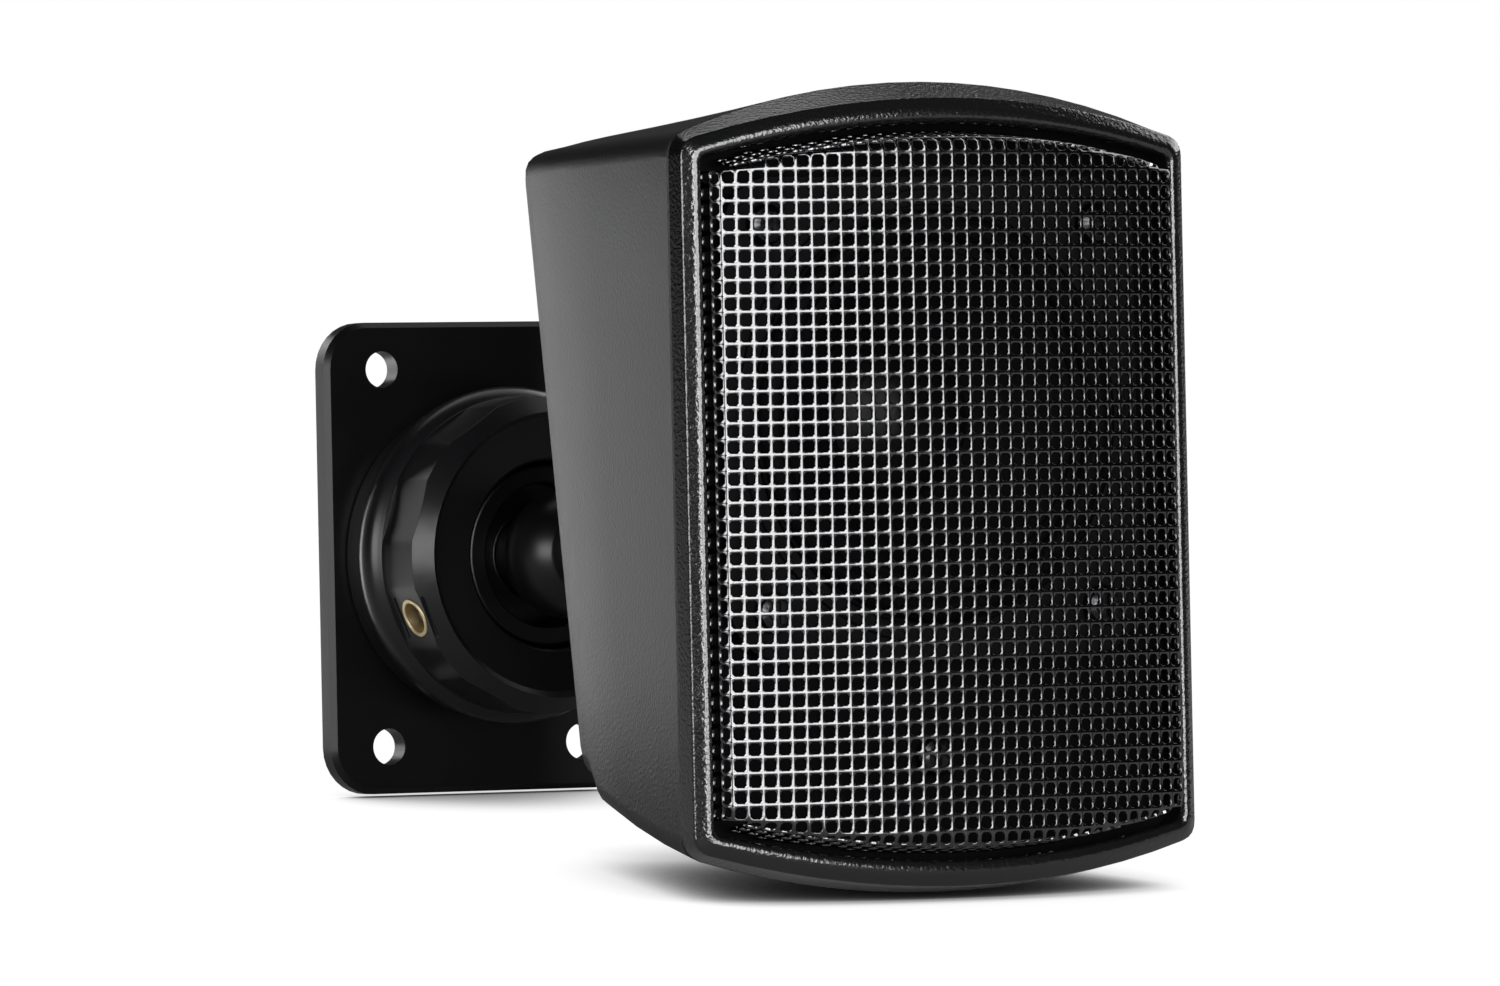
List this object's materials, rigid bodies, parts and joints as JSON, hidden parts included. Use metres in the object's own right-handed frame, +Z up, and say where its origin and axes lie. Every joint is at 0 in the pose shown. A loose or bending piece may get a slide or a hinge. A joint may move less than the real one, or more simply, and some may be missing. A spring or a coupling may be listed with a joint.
{
  "type": "satellite speaker",
  "caption": "Small tapered loudspeaker with a bowed perforated grille, carried by a clamped ball joint on a rectangular wall plate.",
  "frame": {"origin": "centre of the four screw holes in the wall plate's back face", "axes": "+Y into the wall, along the stem's axis; +Z up; the speaker faces -Y; +X is to the right seen from the front"},
  "size_m": [0.0824, 0.1424, 0.1136],
  "materials": {
    "cast_black": "satin cast zinc",
    "stem_black": "glossy cast zinc",
    "collar_black": "satin turned aluminium",
    "brass": "machined",
    "screw_black": "black oxide",
    "nylon_black": "matte nylon",
    "cabinet_black": "fine texture",
    "bezel_black": "satin",
    "baffle_black": "matte",
    "foam_black": "foam",
    "grille_grey": "fine satin paint",
    "basket_black": "pressed steel, satin",
    "surround_black": "matte",
    "cone_black": "coated paper",
    "cap_black": "gloss",
    "spider_ochre": "impregnated cloth",
    "copper": "wound copper wire",
    "zinc_plate": "zinc plated steel",
    "ferrite": "sintered ferrite",
    "fibre_board": "fibre board with tags",
    "terminal_black": "matte",
    "lever_red": "satin",
    "lever_black": "satin",
    "contact_tin": "tinned",
    "lead_red": "insulated wire",
    "lead_black": "insulated wire",
    "wadding_white": "felt"
  },
  "bodies": {
    "wall": {"wall_plate": "cast_black"},
    "collar": {"lock_collar": "collar_black", "collar_insert": "brass"},
    "set_screw": {"collar_set_screw": "screw_black"},
    "seat": {"seat_cup": "nylon_black"},
    "liner": {"friction_liner": "nylon_black"},
    "speaker": {"ball_stem": "stem_black", "stem_screws": "screw_black", "cabinet": "cabinet_black", "bezel": "bezel_black", "baffle": "baffle_black", "baffle_gasket": "foam_black", "baffle_screw": "screw_black", "grille": "grille_grey", "driver_gasket": "foam_black", "driver_basket": "basket_black", "driver_screws": "screw_black", "surround": "surround_black", "spider": "spider_ochre", "top_plate": "zinc_plate", "magnet": "ferrite", "yoke": "zinc_plate", "driver_tags": "fibre_board", "terminal_cup": "terminal_black", "terminal_contacts": "contact_tin", "terminal_screws": "screw_black", "lead_plus": "lead_red", "lead_minus": "lead_black", "wadding": "wadding_white"},
    "cone_assembly": {"cone": "cone_black", "dust_cap": "cap_black", "voice_coil": "copper"},
    "lever_plus": {"terminal_lever_plus": "lever_red"},
    "lever_minus": {"terminal_lever_minus": "lever_black"}
  },
  "joints": [
    {"name": "collar_turn", "type": "hinge", "parent": "wall", "child": "collar", "pos_m": [0, -0.0142, 0], "axis": [0, 1, 0], "range_deg": [-180, 0]},
    {"name": "set_screw_turn", "type": "hinge", "parent": "collar", "child": "set_screw", "pos_m": [-0.01744, -0.0204, -0.00729], "axis": [-0.9225, 0, -0.3859], "range_deg": [0, 360]},
    {"name": "spin", "type": "hinge", "parent": "wall", "child": "seat", "pos_m": [0, -0.0142, 0], "axis": [0, 1, 0], "continuous": true},
    {"name": "pan", "type": "hinge", "parent": "seat", "child": "liner", "pos_m": [0, -0.0142, 0], "axis": [0, 0, 1], "range_deg": [-14, 14]},
    {"name": "tilt", "type": "hinge", "parent": "liner", "child": "speaker", "pos_m": [0, -0.0142, 0], "axis": [1, 0, 0], "range_deg": [-14, 14]},
    {"name": "cone_travel", "type": "slide", "parent": "speaker", "child": "cone_assembly", "axis": [0, 1, 0], "range_m": [-0.002, 0.002], "stiffness_N_per_m": 1500, "deforming": ["surround", "spider"]},
    {"name": "lever_plus_press", "type": "hinge", "parent": "speaker", "child": "lever_plus", "pos_m": [-0.0055, -0.06496, 0.0434], "axis": [1, 0, 0], "range_deg": [-14, 0], "stiffness_Nm_per_rad": 0.05},
    {"name": "lever_minus_press", "type": "hinge", "parent": "speaker", "child": "lever_minus", "pos_m": [0.0055, -0.06496, 0.0434], "axis": [1, 0, 0], "range_deg": [-14, 0], "stiffness_Nm_per_rad": 0.05}
  ]
}
